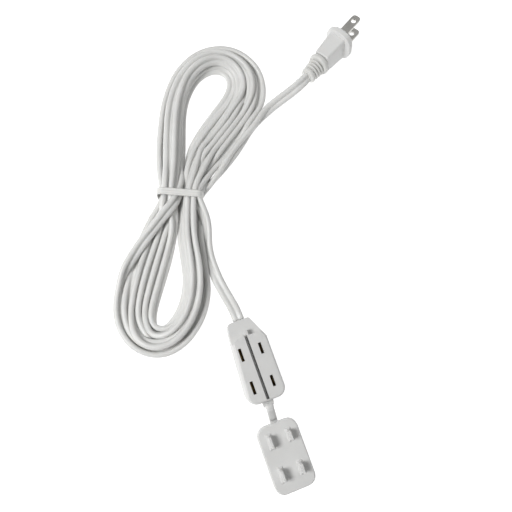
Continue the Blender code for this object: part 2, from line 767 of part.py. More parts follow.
def band_object(name, thickness, width, collection=None):
    """A flat loop standing across the waist, its thickness centred on the band's."""
    low, high = BAND_THICK / 2, BAND_TOP - BAND_THICK / 2
    half_z = (high - low) / 2
    corners = rounded_box_corners(BAND_HALF, half_z, 0.0040)
    bm = bmesh.new()
    near = [bm.verts.new((x, -width / 2, y)) for x, y in rounded_outline(corners)]
    far = [bm.verts.new((v.co.x, width / 2, v.co.z)) for v in near]
    for i in range(len(near)):
        bm.faces.new((near[i - 1], near[i], far[i], far[i - 1]))
    band = mesh_object(name, bm, None, collection)
    band.location = (*WAIST_AT, low + half_z)
    band.rotation_euler = (0, 0, WAIST_ANGLE)
    solid = band.modifiers.new("thickness", "SOLIDIFY")
    solid.thickness = thickness
    solid.offset = 0.0
    solid.use_even_offset = True
    return band


def make_band():
    return paint(band_object("bundle_tie", BAND_THICK, BAND_WIDTH), SOFT_WHITE, 0.5)


def make_cord_runs():
    radius = CORD_WIDTH / 2
    paint(tube_object("cord_run_to_outlet", smooth_route(ROUTE_TO_OUTLET, 2), radius), SOFT_WHITE, 0.5)
    end = on_plug((0, 0, RELIEF_END - GAP))
    straight = [tuple(on_plug((0, 0, RELIEF_END - back))) for back in (0.0080, 0.0040)]
    route = (*ROUTE_TO_PLUG, *straight, tuple(end))
    paint(tube_object("cord_run_to_plug", smooth_route(route, 2), radius), SOFT_WHITE, 0.5)


def main():
    make_back_shell()
    make_front_shell()
    make_contact_carrier()
    for side, label in ((-1, "neutral"), (1, "hot")):
        make_contact_strip(label + "_contact_strip", side * BLADE_X)
        make_block_core(side, label)
        make_plug_core(side, label)
    make_cord_grip()
    make_tether_anchor()
    make_tether_strap()
    make_safety_cover()
    make_plug_body()
    make_plug_blade_carrier()
    make_plug_blade("plug_blade_neutral", -1, NEUTRAL_BLADE)
    make_plug_blade("plug_blade_hot", 1, HOT_BLADE)
    make_plug_strain_relief()
    make_hank()
    make_band()
    make_cord_runs()


main()
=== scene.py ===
"""Looks of the two-outlet extension cord: its tied flat cord, plug, outlet block, tether and safety cover."""

import math

import bmesh
import bpy
import numpy as np
from mathutils import Matrix, Vector


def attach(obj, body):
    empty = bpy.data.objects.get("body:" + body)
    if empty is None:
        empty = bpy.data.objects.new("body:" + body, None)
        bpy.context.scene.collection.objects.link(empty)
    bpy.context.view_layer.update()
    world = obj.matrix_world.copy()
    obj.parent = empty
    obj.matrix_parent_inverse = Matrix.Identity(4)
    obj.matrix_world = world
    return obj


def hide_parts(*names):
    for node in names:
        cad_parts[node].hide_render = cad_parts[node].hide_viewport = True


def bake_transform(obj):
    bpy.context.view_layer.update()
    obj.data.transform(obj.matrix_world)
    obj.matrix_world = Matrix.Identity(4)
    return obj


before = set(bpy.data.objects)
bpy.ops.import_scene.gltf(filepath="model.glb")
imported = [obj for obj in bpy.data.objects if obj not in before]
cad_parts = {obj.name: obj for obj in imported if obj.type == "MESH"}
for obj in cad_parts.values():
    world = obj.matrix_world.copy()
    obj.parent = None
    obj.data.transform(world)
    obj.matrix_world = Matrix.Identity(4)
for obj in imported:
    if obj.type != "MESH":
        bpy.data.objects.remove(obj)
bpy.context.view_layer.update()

MM = 0.001
ROOT = "block_and_cord"

# Camera: nearly overhead, close, and turned so that the block points to the upper left.
LENS = 38.67
LEAN_SIDE = -0.0927
LEAN_DOWN = 0.1982
CAMERA_YAW = math.radians(19.224)
CAMERA_AT = (-0.02872, 0.03548, 0.35743)

# Flat two-core cord, in millimetres and degrees.
LOBE_RADIUS = 1.90
LOBE_SPREAD = 1.90
SECTION_STEP = 3.0
TIGHTEST = 9.0
LEAN_WANDER = 12.0

# How the strands settle, in millimetres a round or as shares of a move.
ROUNDS, QUICK_ROUNDS = 260, 60
SINK = 0.05
HOLD_HANK, HOLD_TAIL, LIFT_TAIL = 0.07, 0.18, 0.25
UNTWIST = 0.06
CLEARANCE = 0.22
NEARBY = 1.6
PUSH = 0.45
NEIGHBOURS = 4
BAND_REACH = 5.0
BAND_WALL = 0.7
BAND_ROOM, HANK_ROOM = 15.2, 16.5
LAST_SMOOTHING = (0.5, -0.52) * 8
FLOOR_GAP = 0.03

# Block and plug positions repeated from the model, in metres.
BLOCK_Y = 0.0231
PLUG_AT = (0.1351, 0.2147, 0.0131)
PLUG_HEADING = math.radians(29.4)
PLUG_PITCH = math.radians(1.0)
PLUG_ROLL = math.radians(11.0)
RELIEF_START = -0.0230
RELIEF_END = -0.0380

# Band and the cord's two ends, in millimetres.
WAIST_AT = (-8.0, 144.1)
WAIST_ANGLE = math.radians(-23.3)
BAND_HALF = 14.7

ROUTE_TO_OUTLET = (
    (-0.4, 114.0, 4.0), (-2.8, 103.1, 4.0), (-3.7, 92.5, 4.1), (-3.2, 83.6, 4.4),
    (-1.9, 73.5, 5.8), (-0.6, 65.2, 8.4), (0.0, 59.0, 10.7), (0.0, 54.4, 11.0),
)
ROUTE_TO_PLUG = (
    (15.59, 147.68, 4.0), (19.0, 150.2, 4.0), (29.0, 157.1, 4.0), (42.0, 166.5, 4.0), (54.0, 175.7, 4.0),
    (65.8, 183.0, 4.2), (75.6, 187.0, 5.4), (83.8, 189.2, 8.0),
)

# Hank: pairs of outer and inner edge points, from the waist's right side round the upper loop to its left
# side, and on round the lower loop.
UPPER_LOOP = (
    ((5, 138), (-8, 143)), ((22, 156), (3, 167)), ((40, 168), (16, 182)), ((64, 186), (43, 202)),
    ((74, 208), (52, 214)), ((66, 231), (49, 222)), ((45, 240), (40, 224)), ((20, 231), (28, 218)),
    ((2, 209), (17, 205)), ((-9, 186), (9, 186)), ((-17, 163), (1, 163)), ((-21, 149), (-8, 143)),
)
LOWER_LOOP = (
    ((-40, 133), (-20, 119)), ((-58, 112), (-33, 98)), ((-70, 89), (-43, 83)), ((-71, 69), (-50, 72)),
    ((-60, 53), (-48, 66)), ((-43, 50), (-40, 68)), ((-25, 60), (-31, 77)), ((-12, 78), (-25, 88)),
    ((-7, 98), (-20, 103)), ((-4, 118), (-17, 118)),
)
TURNS = 6
LANE_INSET, LANE_FLOOR, LANE_RISE = 2.5, 3.6, 5.6


# ---------------------------------------------------------------- camera, light and floor

def make_camera():
    """Places the camera from how the vertical leans in its view and from its turn about the vertical."""
    upright = -Vector((LEAN_SIDE, LEAN_DOWN, 1.0)).normalized()
    ahead = Vector((0, -1, 0))
    ahead = (ahead - upright * ahead.dot(upright)).normalized()
    side = ahead.cross(upright)
    c, s = math.cos(CAMERA_YAW), math.sin(CAMERA_YAW)
    along_y = ahead * c - side * s
    along_x = side * c + ahead * s
    rows = [Vector((along_x[i], along_y[i], upright[i])) for i in range(3)]
    turn = Matrix((rows[0], -rows[1], -rows[2])).transposed().to_4x4()
    turn.translation = CAMERA_AT
    data = bpy.data.cameras.new("camera")
    data.lens = LENS
    data.sensor_width = 36.0
    data.clip_start = 0.01
    data.clip_end = 10.0
    camera = bpy.data.objects.new("camera", data)
    camera.matrix_world = turn
    bpy.context.scene.collection.objects.link(camera)
    bpy.context.scene.camera = camera
    return rows[0]


IMAGE_RIGHT = make_camera()
LIGHT_TARGET = (0.0, 0.10, 0.0)


def add_light(name, direction, distance, size, power):
    """A round lamp that points at the hank's middle from a direction."""
    data = bpy.data.lights.new(name, "AREA")
    data.shape = "DISK"
    data.size = size
    data.energy = power
    lamp = bpy.data.objects.new(name, data)
    direction = Vector(direction).normalized()
    lamp.location = Vector(LIGHT_TARGET) + direction * distance
    lamp.rotation_mode = "QUATERNION"
    lamp.rotation_quaternion = direction.to_track_quat("Z", "Y")
    bpy.context.scene.collection.objects.link(lamp)


def light_scene():
    """Key light from the image's lower left, a weak fill from the upper right and an even grey sky."""
    flat_right = Vector((IMAGE_RIGHT.x, IMAGE_RIGHT.y, 0)).normalized()
    ahead = Vector((-flat_right.y, flat_right.x, 0))
    key = -flat_right * 0.82 - ahead * 0.26 + Vector((0, 0, 1.15))
    add_light("key", key, 1.1, 0.42, 10.0)
    fill = flat_right * 0.5 + ahead * 0.9 + Vector((0, 0, 1.6))
    add_light("fill", fill, 1.2, 0.9, 2.0)
    world = bpy.data.worlds.new("studio")
    world.use_nodes = True
    back = world.node_tree.nodes["Background"]
    back.inputs["Color"].default_value = (1.0, 1.0, 1.0, 1.0)
    back.inputs["Strength"].default_value = 0.24
    bpy.context.scene.world = world
    bpy.context.scene.view_settings.view_transform = "Standard"


def make_floor():
    """White paper that glows a little, so that it stays white and still takes soft shadows."""
    bm = bmesh.new()
    bmesh.ops.create_grid(bm, x_segments=1, y_segments=1, size=4.0)
    mesh = bpy.data.meshes.new("floor")
    bm.to_mesh(mesh)
    bm.free()
    floor = bpy.data.objects.new("floor", mesh)
    floor.location = (0, 0, -0.0003)
    bpy.context.scene.collection.objects.link(floor)
    material = bpy.data.materials.new("floor_paper")
    material.use_nodes = True
    shader = material.node_tree.nodes["Principled BSDF"]
    shader.inputs["Base Color"].default_value = (0.45, 0.45, 0.45, 1.0)
    shader.inputs["Roughness"].default_value = 0.9
    shader.inputs["Emission Color"].default_value = (1.0, 1.0, 1.0, 1.0)
    shader.inputs["Emission Strength"].default_value = 0.90
    mesh.materials.append(material)


light_scene()
make_floor()


# ---------------------------------------------------------------- materials

def plastic(name, colour, roughness=0.42, grain=2600.0, relief=0.00002, cloud=0.05):
    """Moulded or extruded plastic: faint cloudy colour, uneven gloss and a fine texture in its surface."""
    material = bpy.data.materials.new(name)
    material.use_nodes = True
    nodes, links = material.node_tree.nodes, material.node_tree.links
    shader = nodes["Principled BSDF"]
    where = nodes.new("ShaderNodeTexCoord")
    clouds = nodes.new("ShaderNodeTexNoise")
    clouds.inputs["Scale"].default_value = 90.0
    clouds.inputs["Detail"].default_value = 4.0
    links.new(where.outputs["Object"], clouds.inputs["Vector"])
    tint = nodes.new("ShaderNodeValToRGB")
    dark = [c * (1.0 - cloud) for c in colour]
    tint.color_ramp.elements[0].position = 0.3
    tint.color_ramp.elements[0].color = (*dark, 1.0)
    tint.color_ramp.elements[1].position = 0.7
    tint.color_ramp.elements[1].color = (*colour, 1.0)
    links.new(clouds.outputs["Fac"], tint.inputs["Fac"])
    links.new(tint.outputs["Color"], shader.inputs["Base Color"])
    gloss = nodes.new("ShaderNodeMapRange")
    gloss.inputs["To Min"].default_value = roughness - 0.06
    gloss.inputs["To Max"].default_value = roughness + 0.08
    links.new(clouds.outputs["Fac"], gloss.inputs["Value"])
    links.new(gloss.outputs["Result"], shader.inputs["Roughness"])
    texture = nodes.new("ShaderNodeTexNoise")
    texture.inputs["Scale"].default_value = grain
    texture.inputs["Detail"].default_value = 3.0
    links.new(where.outputs["Object"], texture.inputs["Vector"])
    bump = nodes.new("ShaderNodeBump")
    bump.inputs["Strength"].default_value = 0.35
    bump.inputs["Distance"].default_value = relief
    links.new(texture.outputs["Fac"], bump.inputs["Height"])
    links.new(bump.outputs["Normal"], shader.inputs["Normal"])
    shader.inputs["Subsurface Weight"].default_value = 0.12
    shader.inputs["Subsurface Radius"].default_value = (1.0, 0.9, 0.8)
    shader.inputs["Subsurface Scale"].default_value = 0.0008
    return material


def metal(name, colour, roughness):
    """Rolled metal with fine lengthwise streaks and cloudy tarnish."""
    material = bpy.data.materials.new(name)
    material.use_nodes = True
    nodes, links = material.node_tree.nodes, material.node_tree.links
    shader = nodes["Principled BSDF"]
    shader.inputs["Metallic"].default_value = 1.0
    where = nodes.new("ShaderNodeTexCoord")
    stretch = nodes.new("ShaderNodeMapping")
    stretch.inputs["Scale"].default_value = (60.0, 900.0, 900.0)
    links.new(where.outputs["Object"], stretch.inputs["Vector"])
    lines = nodes.new("ShaderNodeTexNoise")
    lines.inputs["Scale"].default_value = 3.0
    lines.inputs["Detail"].default_value = 5.0
    links.new(stretch.outputs["Vector"], lines.inputs["Vector"])
    tint = nodes.new("ShaderNodeValToRGB")
    tint.color_ramp.elements[0].position = 0.25
    tint.color_ramp.elements[0].color = (*[c * 0.82 for c in colour], 1.0)
    tint.color_ramp.elements[1].position = 0.75
    tint.color_ramp.elements[1].color = (*colour, 1.0)
    links.new(lines.outputs["Fac"], tint.inputs["Fac"])
    links.new(tint.outputs["Color"], shader.inputs["Base Color"])
    gloss = nodes.new("ShaderNodeMapRange")
    gloss.inputs["To Min"].default_value = roughness - 0.08
    gloss.inputs["To Max"].default_value = roughness + 0.10
    links.new(lines.outputs["Fac"], gloss.inputs["Value"])
    links.new(gloss.outputs["Result"], shader.inputs["Roughness"])
    bump = nodes.new("ShaderNodeBump")
    bump.inputs["Strength"].default_value = 0.3
    bump.inputs["Distance"].default_value = 0.00001
    links.new(lines.outputs["Fac"], bump.inputs["Height"])
    links.new(bump.outputs["Normal"], shader.inputs["Normal"])
    return material


HOUSING = plastic("housing_plastic", (0.63, 0.63, 0.62), 0.42)
COVER = plastic("cover_plastic", (0.65, 0.65, 0.64), 0.46, grain=1800.0)
VINYL = plastic("cord_vinyl", (0.70, 0.70, 0.685), 0.40, grain=1500.0, relief=0.00003, cloud=0.07)
PLUG_SHELL = plastic("plug_plastic", (0.70, 0.70, 0.69), 0.42)
RELIEF = plastic("relief_vinyl", (0.68, 0.68, 0.66), 0.45)
TIE = plastic("tie_plastic", (0.72, 0.72, 0.70), 0.40)
INSULATOR = plastic("insulator", (0.42, 0.40, 0.35), 0.6)
NICKEL = metal("blade_nickel", (0.62, 0.61, 0.58), 0.30)
BRASS = metal("contact_brass", (0.62, 0.47, 0.22), 0.35)
COPPER = metal("copper_strand", (0.75, 0.38, 0.24), 0.35)

NODE_LOOKS = {
    "outlet_front_shell": HOUSING, "outlet_back_shell": HOUSING, "contact_carrier": INSULATOR,
    "neutral_contact_strip": BRASS, "hot_contact_strip": BRASS,
    "outlet_core_neutral": VINYL, "outlet_core_hot": VINYL,
    "outlet_wire_neutral": COPPER, "outlet_wire_hot": COPPER, "outlet_cord_grip": VINYL,
    "tether_anchor": COVER, "tether_strap": COVER, "safety_cover": COVER,
    "plug_body": PLUG_SHELL, "plug_blade_carrier": PLUG_SHELL,
    "plug_blade_neutral": NICKEL, "plug_blade_hot": NICKEL,
    "plug_core_neutral": VINYL, "plug_core_hot": VINYL,
    "plug_wire_neutral": COPPER, "plug_wire_hot": COPPER, "plug_strain_relief": RELIEF,
    "cord_run_to_outlet": VINYL, "cord_hank": VINYL, "cord_run_to_plug": VINYL, "bundle_tie": TIE,
}
# Rounding of the visible nodes' edges, in millimetres.
EDGE_RADII = {
    "outlet_back_shell": 0.30, "safety_cover": 0.35, "plug_body": 0.35,
    "plug_blade_carrier": 0.12, "plug_blade_neutral": 0.18, "plug_blade_hot": 0.18,
    "tether_anchor": 0.55,
}


def dress_nodes():
    """Gives every CAD node its material, and the visible ones softened edges."""
    for name, material in NODE_LOOKS.items():
        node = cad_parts[name]
        node.data.materials.clear()
        node.data.materials.append(material)
        if name in EDGE_RADII:
            weld = node.modifiers.new("weld", "WELD")
            weld.merge_threshold = 0.00001
            flat = node.modifiers.new("flat", "DECIMATE")
            flat.decimate_type = "DISSOLVE"
            flat.angle_limit = math.radians(0.8)
            edge = node.modifiers.new("edge", "BEVEL")
            edge.width = EDGE_RADII[name] * MM
            edge.segments = 3
            edge.limit_method = "ANGLE"
            edge.angle_limit = math.radians(28)
            edge.use_clamp_overlap = True
            edge.miter_outer = "MITER_ARC"
            normals = node.modifiers.new("normals", "WEIGHTED_NORMAL")
            normals.keep_sharp = False
            node.data.shade_smooth()


# ---------------------------------------------------------------- mesh tools

def mesh_from_rings(name, rings, material, closed_ends=True):
    """A skin through rings of points, each ring with the same number of points."""
    bm = bmesh.new()
    made = [[bm.verts.new(p) for p in ring] for ring in rings]
    count = len(made[0])
    for a, b in zip(made, made[1:]):
        for i in range(count):
            bm.faces.new((a[i - 1], a[i], b[i], b[i - 1]))
    if closed_ends:
        bm.faces.new(list(reversed(made[0])))
        bm.faces.new(made[-1])
    bmesh.ops.recalc_face_normals(bm, faces=bm.faces)
    mesh = bpy.data.meshes.new(name)
    bm.to_mesh(mesh)
    bm.free()
    mesh.materials.append(material)
    mesh.shade_smooth()
    piece = bpy.data.objects.new(name, mesh)
    bpy.context.scene.collection.objects.link(piece)
    return piece


def catmull(points, steps):
    """Points along a smooth curve through the given ones; steps points to each span."""
    p = np.asarray(points, float)
    ends = np.vstack([2 * p[0] - p[1], p, 2 * p[-1] - p[-2]])
    t = np.linspace(0, 1, steps, endpoint=False)[:, None]
    line = []
    for i in range(1, len(ends) - 2):
        a, b, c, d = ends[i - 1], ends[i], ends[i + 1], ends[i + 2]
        bend, twist = 2 * a - 5 * b + 4 * c - d, 3 * b - a - 3 * c + d
        line.append(0.5 * (2 * b + (c - a) * t + bend * t * t + twist * t ** 3))
    return np.vstack([*line, p[-1][None]])


def evenly(points, step):
    """The same line with its points a step apart; whatever else a row holds is carried along."""
    gaps = np.linalg.norm(np.diff(points[:, :3], axis=0), axis=1)
    along = np.concatenate([[0], np.cumsum(gaps)])
    count = max(2, int(round(along[-1] / step)) + 1)
    wanted = np.linspace(0, along[-1], count)
    return np.column_stack([np.interp(wanted, along, points[:, k]) for k in range(points.shape[1])])


# ---------------------------------------------------------------- cord

def plug_axes():
    """The plug's own X, Y and Z in the row frame."""
    ahead = Vector((
        math.cos(PLUG_HEADING) * math.cos(PLUG_PITCH),
        math.sin(PLUG_HEADING) * math.cos(PLUG_PITCH),
        math.sin(PLUG_PITCH),
    ))
    left = Vector((-math.sin(PLUG_HEADING), math.cos(PLUG_HEADING), 0))
    over = ahead.cross(left)
    across = over * math.cos(PLUG_ROLL) + left * math.sin(PLUG_ROLL)
    return across.cross(ahead), across, ahead


PLUG_X, PLUG_Y, PLUG_Z = plug_axes()


def on_plug(x, y, z):
    """A point in the plug's frame, in metres, as a point in the row frame."""
    return Vector(PLUG_AT) + PLUG_X * x + PLUG_Y * y + PLUG_Z * z


# How the turns lie across the hank, outermost first: shares of the width, and layers.
FLAT = ((0.0, 0.20, 0.40, 0.60, 0.80, 1.0), (0, 0, 0.1, 0, 0.1, 0))
FAN = ((0.0, 0.22, 0.36, 0.54, 0.70, 1.0), (0.2, 0, 0.5, 0, 0.5, 0))
ARC = ((0.0, 0.27, 0.40, 0.60, 0.75, 1.0), (0, 0, 0.85, 0, 0.85, 0))
LEFT_WAIST = ((0.0, 0.36, 0.26, 0.76, 0.62, 1.0), (0, 0, 1, 0, 1, 1))
RIGHT_WAIST = ((0.0, 0.28, 0.36, 0.62, 0.70, 1.0), (1, 0, 1, 0, 1, 0.1))
UPPER_LANES = (RIGHT_WAIST, FAN, FAN, FAN, ARC, ARC, ARC, ARC, ARC, ARC, ARC, LEFT_WAIST)
LOWER_LANES = (FLAT, FLAT, FLAT, ARC, ARC, ARC, ARC, ARC, ARC, ARC)

# The last turn's way over the others to the outside, as (share, layer) at three stations.
CROSSING = ((0.36, 1.3), (0.06, 1.0), (0.0, 0.3))

# Leans of the cord's wide side from upright, in degrees.
HANK_LEAN = 46.0
WAIST_LEAN = 14.0
PLUG_TAIL_LEAN = -56.0


def lane_point(pair, lanes, rank):
    """Middle of a strand in its lane at one station."""
    share, layer = lanes[0][rank], lanes[1][rank]
    outer, inner = Vector(pair[0]), Vector(pair[1])
    width = (inner - outer).length
    spot = outer + (inner - outer).normalized() * (LANE_INSET + (width - 2 * LANE_INSET) * share)
    lean = WAIST_LEAN if lanes in (LEFT_WAIST, RIGHT_WAIST) else HANK_LEAN
    return (spot.x, spot.y, LANE_FLOOR + LANE_RISE * layer, lean, 0.0, 0.0)


def lay_out_cord():
    """Rough route of the whole cord: in from the block, round the hank's turns, and out to the plug.

    Each row is a place, a lean from upright in degrees, how much of a tail it is, and how far it
    follows the plug."""
    points = [(*p, 90.0, 1.0, 0.0) for p in reversed(ROUTE_TO_OUTLET)]
    points.append((3.4, 126.7, 7.5, 50.0, 0.4, 0.0))
    for turn in range(TURNS):
        for pair, lanes in zip(UPPER_LOOP, UPPER_LANES):
            points.append(lane_point(pair, lanes, turn))
        rank = (turn + 1) % TURNS
        for index, (pair, lanes) in enumerate(zip(LOWER_LOOP, LOWER_LANES)):
            if rank == 0 and index < len(CROSSING):
                share, layer = CROSSING[index]
                lanes = ((share,) * TURNS, (layer,) * TURNS)
            points.append(lane_point(pair, lanes, rank))
    points.append((6.0, 139.5, 3.8, 20.0, 0.2, 0.0))
    points.append((*ROUTE_TO_PLUG[0], 0.0, 0.4, 0.0))
    points.append((*ROUTE_TO_PLUG[1], -20.0, 0.8, 0.0))
    points += [(*p, PLUG_TAIL_LEAN, 1.0, 0.0) for p in ROUTE_TO_PLUG[2:]]
    for back in (0.0080, 0.0040, 0.0):
        spot = on_plug(0, 0, RELIEF_END - back + 0.0008) / MM
        points.append((*spot, PLUG_TAIL_LEAN, 1.0, 0.3 if back == 0 else 0.0))
    return evenly(catmull(points, 12), SECTION_STEP)


def section_axis(route):
    """Direction from one core to the other: leaning in the hank, and lying flat at the block's neck."""
    centre = route[:, :3]
    tangent = np.gradient(centre, axis=0)
    tangent /= np.linalg.norm(tangent, axis=1)[:, None]
    up = np.tile([0.0, 0.0, 1.0], (len(route), 1))
    side = np.cross(tangent, up)
    side /= np.linalg.norm(side, axis=1)[:, None]
    over = np.cross(side, tangent)
    place = np.arange(len(route)) * SECTION_STEP
    wander = np.sin(place / 61.0) + 0.7 * np.sin(place / 23.0 + 1.3)
    free = 1.0 - np.clip(route[:, 4], 0, 1)
    angle = np.radians(route[:, 3] + LEAN_WANDER * wander * free)[:, None]
    axis = over * np.cos(angle) + side * np.sin(angle)
    at_plug = np.clip(route[:, 5], 0, 1)[:, None]
    plug_dir = np.array(PLUG_Y)
    sign = 1.0 if float(plug_dir @ axis[-1]) > 0 else -1.0
    axis = axis * (1 - at_plug) + sign * plug_dir * at_plug
    axis -= tangent * np.sum(axis * tangent, axis=1)[:, None]
    return axis / np.linalg.norm(axis, axis=1)[:, None]


def stiffen(line, times):
    """Evens out the bends of a line without pulling it short."""
    for skip in (1, 2) * times:
        last = len(line) - 2 * skip
        far = line[:last - 2 * skip] + line[4 * skip:]
        near = line[skip:last - skip] + line[3 * skip:last + skip]
        line[2 * skip:last] += (4 * near - far - 6 * line[2 * skip:last]) / (16 * skip)
    for _ in range(times):
        for skip in (2, 3):
            middle = (line[:-2 * skip] + line[2 * skip:]) / 2
            sag = line[skip:-skip] - middle
            size = np.linalg.norm(sag, axis=1)
            most = (skip * SECTION_STEP) ** 2 / (2 * TIGHTEST)
            extra = np.maximum(size - most, 0) / np.maximum(size, 1e-6)
            line[skip:-skip] -= 0.25 * extra[:, None] * sag


def settle(route, rounds):
    """Lets the strands push each other apart, sink onto the surface and keep their stiffness."""
    axis = section_axis(route)
    goal = route[:, :3].copy()
    low = goal - axis * LOBE_SPREAD
    high = goal + axis * LOBE_SPREAD
    count = len(route)
    index = np.tile(np.arange(count), 2)
    apart = 2 * LOBE_RADIUS + CLEARANCE
    waist = np.array(WAIST_AT)
    along = np.array([-math.sin(WAIST_ANGLE), math.cos(WAIST_ANGLE)])
    across = np.array([math.cos(WAIST_ANGLE), math.sin(WAIST_ANGLE)])
    limit = BAND_HALF - BAND_WALL - LOBE_RADIUS
    tail = np.clip(route[:, 4:5], 0, 1)
    hold = HOLD_HANK + HOLD_TAIL * tail
    lift = LIFT_TAIL * tail
    fixed = np.zeros(count, bool)
    fixed[:2] = True
    fixed[-2:] = True
    start_low, start_high = low.copy(), high.copy()
    for step in range(rounds):
        middle = (low + high) / 2
        pull = goal - middle
        flat_pull = np.column_stack([pull[:, :2] * hold, pull[:, 2:] * lift])
        low += flat_pull
        high += flat_pull
        sink = SINK * (1 - tail[:, 0])
        low[:, 2] -= sink
        high[:, 2] -= sink
        low += UNTWIST * ((middle - axis * LOBE_SPREAD) - low)
        high += UNTWIST * ((middle + axis * LOBE_SPREAD) - high)
        stiffen(low, 2)
        stiffen(high, 2)
        way = np.gradient((low + high) / 2, axis=0)
        way = np.vstack([way, way])
        way /= np.linalg.norm(way, axis=1)[:, None]
        if step % 4 == 0:
            points = np.vstack([low, high])
            near = np.einsum("ij,ij->i", points, points)
            gap2 = near[:, None] + near[None, :] - 2 * points @ points.T
            close = (gap2 < (apart + NEARBY) ** 2) & (np.abs(index[:, None] - index[None, :]) > NEIGHBOURS)
            pairs = np.argwhere(np.triu(close, 1))
            a, b = pairs[:, 0], pairs[:, 1]
        for _ in range(3):
            points = np.vstack([low, high])
            between = points[b] - points[a]
            gap = np.linalg.norm(between, axis=1)
            hit = gap < apart
            push = between[hit] * ((apart - gap[hit]) / np.maximum(gap[hit], 1e-6) * PUSH)[:, None]
            move = np.zeros_like(points)
            share = np.zeros(len(points))
            np.add.at(move, a[hit], -push)
            np.add.at(move, b[hit], push)
            np.add.at(share, a[hit], 1)
            np.add.at(share, b[hit], 1)
            move -= way * np.sum(move * way, axis=1)[:, None]
            points += move / np.maximum(1.0, share * 0.6)[:, None]
            low, high = points[:count], points[count:]
            twin = high - low
            length = np.linalg.norm(twin, axis=1)[:, None]
            fix = twin / length * (length - 2 * LOBE_SPREAD) / 2
            low = low + fix
            high = high - fix
            held = np.abs(((low + high)[:, :2] / 2 - waist) @ along) < BAND_REACH
            for line in (low, high):
                line[:, 2] = np.maximum(line[:, 2], LOBE_RADIUS + 0.05)
                reach = (line[:, :2] - waist) @ across
                over = np.clip(reach, -limit, limit) - reach
                line[held, :2] += over[held, None] * across
                line[held, 2] = np.minimum(line[held, 2], BAND_ROOM - LOBE_RADIUS)
                line[:, 2] = np.minimum(line[:, 2], HANK_ROOM - LOBE_RADIUS)
            low[fixed], high[fixed] = start_low[fixed], start_high[fixed]
    return low, high


def twin_profile(points_per_lobe=9):
    """Outline of the flat cord: two round lobes with a groove between, as (along the pair, across) points."""
    outline = []
    neck, groove_depth = 1.32, 0.32
    open_angle = math.asin(neck / LOBE_RADIUS)
    for side in (1, -1):
        for k in range(points_per_lobe):
            t = k / (points_per_lobe - 1)
            angle = -(math.pi - open_angle) + 2 * (math.pi - open_angle) * t
            u = LOBE_SPREAD + LOBE_RADIUS * math.cos(angle)
            v = LOBE_RADIUS * math.sin(angle)
            outline.append((side * u, side * v))
        outline.append((0.0, side * (neck - groove_depth)))
    return outline


def make_cord():
    """The whole flat cord as one skin, and the line that its middle follows."""
    route = lay_out_cord()
    low, high = settle(route, ROUNDS)
    for line in (low, high):
        for share in LAST_SMOOTHING:
            line[1:-1] += share * ((line[:-2] + line[2:]) / 2 - line[1:-1])
    low = catmull(low, 2)
    high = catmull(high, 2)
    centre = (low + high) / 2
    u = high - low
    u /= np.linalg.norm(u, axis=1)[:, None]
    tangent = np.gradient(centre, axis=0)
    tangent /= np.linalg.norm(tangent, axis=1)[:, None]
    v = np.cross(tangent, u)
    v /= np.linalg.norm(v, axis=1)[:, None]
    u = np.cross(v, tangent)
    outline = np.array(PROFILE)
    lowest = centre[:, 2] + np.min(u[:, 2:] * outline[:, 0] + v[:, 2:] * outline[:, 1], axis=1)
    centre[:, 2] += np.maximum(FLOOR_GAP - lowest, 0)
    rings = [
        [(c + du * a + dv * b) * MM for a, b in PROFILE] for c, du, dv in zip(centre, u, v)
    ]
    piece = mesh_from_rings("flat_cord", rings, VINYL)
    return piece, centre * MM


PROFILE = twin_profile()
flat_cord, cord_line = make_cord()
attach(flat_cord, ROOT)
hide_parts("cord_run_to_outlet", "cord_hank", "cord_run_to_plug")


# ---------------------------------------------------------------- outlet block

# The block's outline as (x, y, corner radius), in millimetres, anticlockwise.
CORNERS = (
    (-12.5, -21.0, 6.5), (12.9, -21.0, 6.5), (12.8, 16.5, 3.0), (6.2, 31.0, 2.0), (-8.2, 31.0, 3.0),
    (-9.8, 20.0, 4.0),
)


def inset_corners(corners, distance):
    """The corners of an outline moved in by a distance, with their radii reduced to match."""
    moved = []
    for i, (x, y, radius) in enumerate(corners):
        here = Vector((x, y))
        back = (here - Vector(corners[i - 1][:2])).normalized()
        on = (Vector(corners[(i + 1) % len(corners)][:2]) - here).normalized()
        inward = Vector((-back.y, back.x)) + Vector((-on.y, on.x))
        inward *= distance / (1.0 + back.dot(on))
        moved.append((x + inward.x, y + inward.y, max(radius - distance, 0.25)))
    return moved


def rounded_outline(corners, steps=9):
    """Points round a closed outline whose corners are arcs; corners are (x, y, radius), anticlockwise."""
    points = []
    for i, (x, y, radius) in enumerate(corners):
        here = Vector((x, y))
        back = (Vector(corners[i - 1][:2]) - here).normalized()
        on = (Vector(corners[(i + 1) % len(corners)][:2]) - here).normalized()
        half = back.angle(on) / 2
        centre = here + (back + on).normalized() * (radius / math.sin(half))
        first = here + back * (radius / math.tan(half)) - centre
        turn = math.pi - 2 * half
        for k in range(steps + 1):
            c, s = math.cos(turn * k / steps), math.sin(turn * k / steps)
            points.append((centre.x + first.x * c - first.y * s, centre.y + first.x * s + first.y * c))
    return points


def block_cutter(outline, low, high):
    """A straight-sided solid on an outline in the block's frame, in millimetres."""
    y0 = BLOCK_Y / MM
    rings = [[(x * MM, (y + y0) * MM, z * MM) for x, y in outline] for z in (low, high)]
    return mesh_from_rings("cutter", rings, HOUSING)


def rectangle(x0, y0, x1, y1):
    """Corners of a rectangle, anticlockwise."""
    return [(x0, y0), (x1, y0), (x1, y1), (x0, y1)]


def carve(piece, cutters):
    """Cuts the cutters out of a piece for good, and removes them."""
    for cutter in cutters:
        modifier = piece.modifiers.new("cut", "BOOLEAN")
        modifier.solver = "EXACT"
        modifier.operation = "DIFFERENCE"
        modifier.object = cutter
    apply_modifiers(piece)
    for cutter in cutters:
        bpy.data.objects.remove(cutter)


